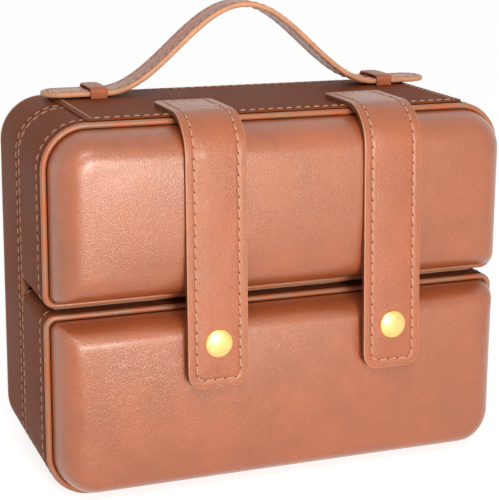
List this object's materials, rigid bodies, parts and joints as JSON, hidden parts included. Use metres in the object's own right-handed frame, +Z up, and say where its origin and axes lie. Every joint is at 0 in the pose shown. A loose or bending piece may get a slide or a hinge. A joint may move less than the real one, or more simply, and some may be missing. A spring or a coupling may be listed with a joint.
{
  "type": "leather jewellery case",
  "caption": "Leather jewellery case: padded upper box lifts over a fixed lower box, with snap straps, an arched handle, a lift-out tray and a mirror bay.",
  "frame": {"origin": "middle of the case's footprint, on the surface it stands on", "axes": "+Z up, -Y towards the padded fronts, +X to the right seen from the front"},
  "size_m": [0.257, 0.1306, 0.2489],
  "materials": {
    "board": "matte grey board",
    "leather": "semi-gloss, fine pebble grain",
    "pad_leather": "semi-gloss, fine pebble grain over foam",
    "piping": "semi-gloss, tight over cord",
    "strap_leather": "semi-gloss, light painted edges",
    "brass": "polished",
    "suede": "soft suede",
    "velvet": "short pile",
    "trim_leather": "satin",
    "mirror": "clear",
    "binding": "fine woven tape"
  },
  "bodies": {
    "case": {"lower_box": "board", "lower_gusset": "leather", "lower_lining": "suede", "lower_rim": "suede", "lower_piping": "piping", "lower_pad": "pad_leather", "base_panel": "leather", "seam_binding": "binding", "snap_stud_left": "brass", "snap_stud_right": "brass", "rear_box": "board", "rear_gusset": "leather", "rear_panel": "leather", "rear_piping": "piping", "rear_lining": "suede", "bay_wall_left": "suede", "bay_wall_right": "suede", "ring_shelf": "suede", "ring_rolls": "velvet", "mirror_frame": "trim_leather", "mirror_glass": "mirror", "hook_bar_left": "trim_leather", "hook_bar_right": "trim_leather", "necklace_hooks_left": "brass", "necklace_hooks_right": "brass", "chain_pocket_left": "velvet", "chain_pocket_right": "velvet", "overlay_rear": "leather", "keeper_left": "strap_leather", "keeper_right": "strap_leather", "tray_ledge_left": "suede", "tray_ledge_right": "suede", "store_dividers": "suede"},
    "lid": {"lid_box": "board", "lid_gusset": "leather", "lid_lining": "suede", "lid_piping": "piping", "lid_pad": "pad_leather", "lid_pocket": "velvet", "overlay_front": "leather", "strap_anchor_left": "strap_leather", "strap_anchor_right": "strap_leather"},
    "strap_l": {"strap_left": "strap_leather", "snap_cap_left": "brass", "snap_socket_left": "brass"},
    "strap_r": {"strap_right": "strap_leather", "snap_cap_right": "brass", "snap_socket_right": "brass"},
    "grip": {"handle_grip": "strap_leather", "handle_arm_left": "strap_leather", "handle_arm_right": "strap_leather"},
    "tab_l": {"handle_tab_left": "strap_leather"},
    "tab_r": {"handle_tab_right": "strap_leather"},
    "tray": {"tray_box": "board", "tray_dividers": "suede", "tray_lining": "suede", "tray_ring_roll": "velvet", "tray_pulls": "trim_leather"}
  },
  "joints": [
    {"name": "lid_hinge", "type": "hinge", "parent": "case", "child": "lid", "pos_m": [0, 0.0188, 0.1983], "axis": [-1, 0, 0], "range_deg": [0, 95]},
    {"name": "strap_left_hinge", "type": "hinge", "parent": "lid", "child": "strap_l", "pos_m": [-0.044, -0.0267, 0.20125], "axis": [-1, 0, 0], "range_deg": [0, 110]},
    {"name": "strap_right_hinge", "type": "hinge", "parent": "lid", "child": "strap_r", "pos_m": [0.054, -0.0267, 0.20125], "axis": [-1, 0, 0], "range_deg": [0, 110]},
    {"name": "handle_drop", "type": "slide", "parent": "case", "child": "grip", "axis": [0, 0, -1], "range_m": [0, 0.034], "deforming": ["handle_arm_left", "handle_arm_right"]},
    {"name": "tab_left_slide", "type": "slide", "parent": "grip", "child": "tab_l", "axis": [-0.3571, 0, 0.9341], "range_m": [0, 0.0365]},
    {"name": "tab_right_slide", "type": "slide", "parent": "grip", "child": "tab_r", "axis": [0.3571, 0, 0.9341], "range_m": [0, 0.0365]},
    {"name": "tray_lift", "type": "slide", "parent": "case", "child": "tray", "axis": [0, 0, 1], "range_m": [0, 0.045]}
  ],
  "couplings": [
    {"joint": "tab_left_slide", "follows": "handle_drop", "ratio": 1.0706},
    {"joint": "tab_right_slide", "follows": "handle_drop", "ratio": 1.0706}
  ]
}
